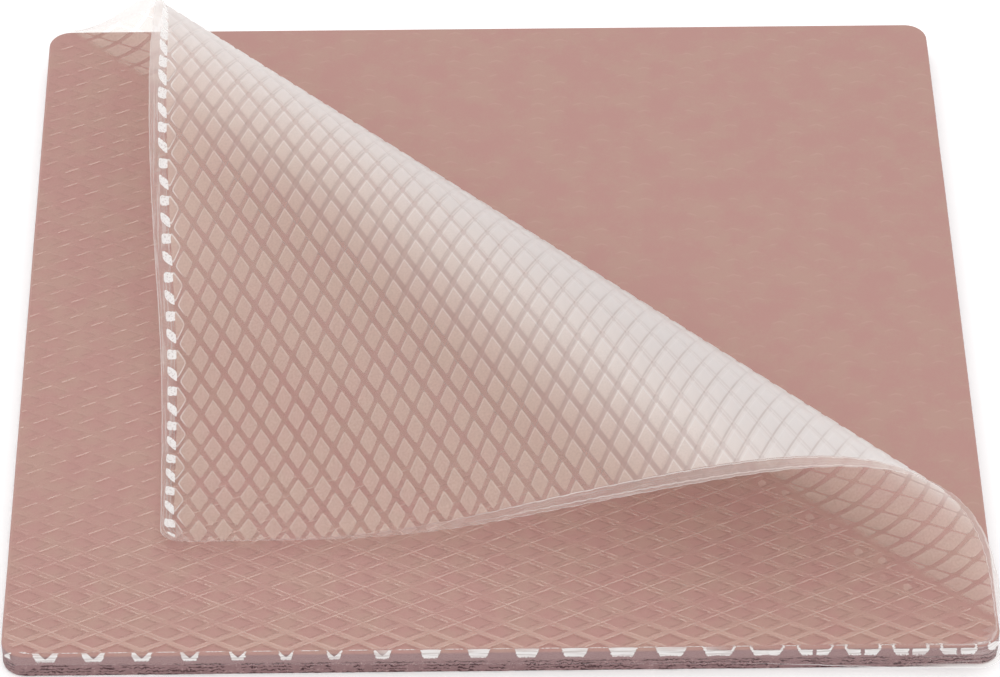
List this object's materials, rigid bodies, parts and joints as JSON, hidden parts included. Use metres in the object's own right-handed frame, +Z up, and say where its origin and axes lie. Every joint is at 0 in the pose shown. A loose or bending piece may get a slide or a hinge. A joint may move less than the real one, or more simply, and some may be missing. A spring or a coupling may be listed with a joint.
{
  "type": "thermal pad sheet",
  "caption": "Flat square slab of soft thermal gap pad with an embossed translucent release film, its corner peeled back and folded over the rest.",
  "frame": {"origin": "centre of the pad's flat bottom face, which lies on the ground", "axes": "+Z up; the pad's sides run along X and Y; +X right and +Y back, away from the picture's viewer; the film is peeled from the +X +Y corner"},
  "size_m": [0.1018, 0.1038, 0.0166],
  "materials": {
    "pad_silicone": "satin",
    "film_polyethylene": "satin"
  },
  "bodies": {
    "root": {"thermal_pad": "pad_silicone", "release_film": "film_polyethylene"}
  },
  "joints": []
}
